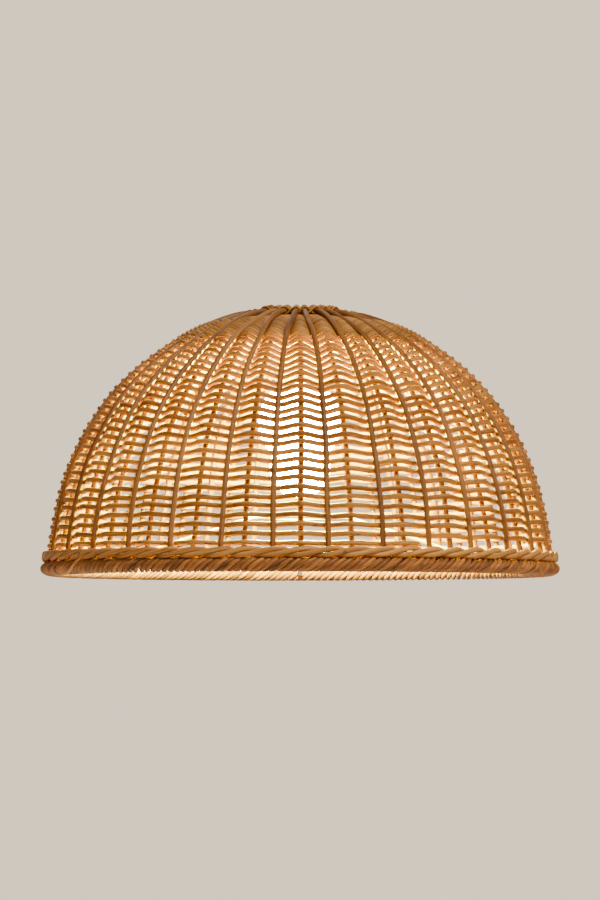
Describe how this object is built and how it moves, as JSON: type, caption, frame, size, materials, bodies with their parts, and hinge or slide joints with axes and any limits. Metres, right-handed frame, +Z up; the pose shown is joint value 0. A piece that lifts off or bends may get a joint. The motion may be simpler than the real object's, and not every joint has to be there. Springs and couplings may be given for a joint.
{
  "type": "woven lamp shade",
  "caption": "Closed dome lamp shade of open rattan weave on crossed rods, with a bound rim on a wire hoop and an inner three-armed fitter ring for a lampholder.",
  "frame": {"origin": "centre of the rim's underside, the face the shade stands on", "axes": "+Z up along the dome's axis to the crown; -Y is the front, where the base rods of the upper layer run front to back; +X is to the right seen from the front"},
  "size_m": [0.41, 0.41, 0.2147],
  "materials": {
    "rattan_rods": "matt round rattan core, stained honey brown",
    "rattan_weavers": "matt round rattan core, stained warm brown, slightly translucent against the light",
    "rattan_rim_strands": "matt round rattan, stained brown with worn tan crests",
    "rattan_border": "matt round rattan, stained dark brown",
    "painted_steel": "satin cream paint on welded steel wire"
  },
  "bodies": {
    "root": {"border": "rattan_border", "by_stake_01": "rattan_rods", "by_stake_02": "rattan_rods", "by_stake_03": "rattan_rods", "by_stake_04": "rattan_rods", "by_stake_05": "rattan_rods", "by_stake_06": "rattan_rods", "by_stake_07": "rattan_rods", "by_stake_08": "rattan_rods", "by_stake_09": "rattan_rods", "by_stake_10": "rattan_rods", "by_stake_11": "rattan_rods", "by_stake_12": "rattan_rods", "by_stake_13": "rattan_rods", "by_stake_14": "rattan_rods", "by_stake_15": "rattan_rods", "by_stake_16": "rattan_rods", "by_stake_17": "rattan_rods", "by_stake_18": "rattan_rods", "by_stake_19": "rattan_rods", "by_stake_20": "rattan_rods", "by_stake_21": "rattan_rods", "by_stake_22": "rattan_rods", "by_stake_23": "rattan_rods", "by_stake_24": "rattan_rods", "by_stake_25": "rattan_rods", "by_stake_26": "rattan_rods", "by_stake_27": "rattan_rods", "by_stake_28": "rattan_rods", "by_stake_29": "rattan_rods", "by_stake_30": "rattan_rods", "crown_weave": "rattan_weavers", "fitter_arm_1": "painted_steel", "fitter_arm_2": "painted_steel", "fitter_arm_3": "painted_steel", "fitter_ring": "painted_steel", "front_rod_01": "rattan_rods", "front_rod_02": "rattan_rods", "front_rod_03": "rattan_rods", "front_rod_04": "rattan_rods", "front_rod_05": "rattan_rods", "front_rod_06": "rattan_rods", "front_rod_07": "rattan_rods", "front_rod_08": "rattan_rods", "inner_wale": "rattan_rim_strands", "lower_side_weave": "rattan_weavers", "outer_wale": "rattan_rim_strands", "rim_hoop": "painted_steel", "shoulder_weave": "rattan_weavers", "side_rod_01": "rattan_rods", "side_rod_02": "rattan_rods", "side_rod_03": "rattan_rods", "side_rod_04": "rattan_rods", "side_rod_05": "rattan_rods", "side_rod_06": "rattan_rods", "side_rod_07": "rattan_rods", "upper_side_weave": "rattan_weavers"}
  },
  "joints": []
}
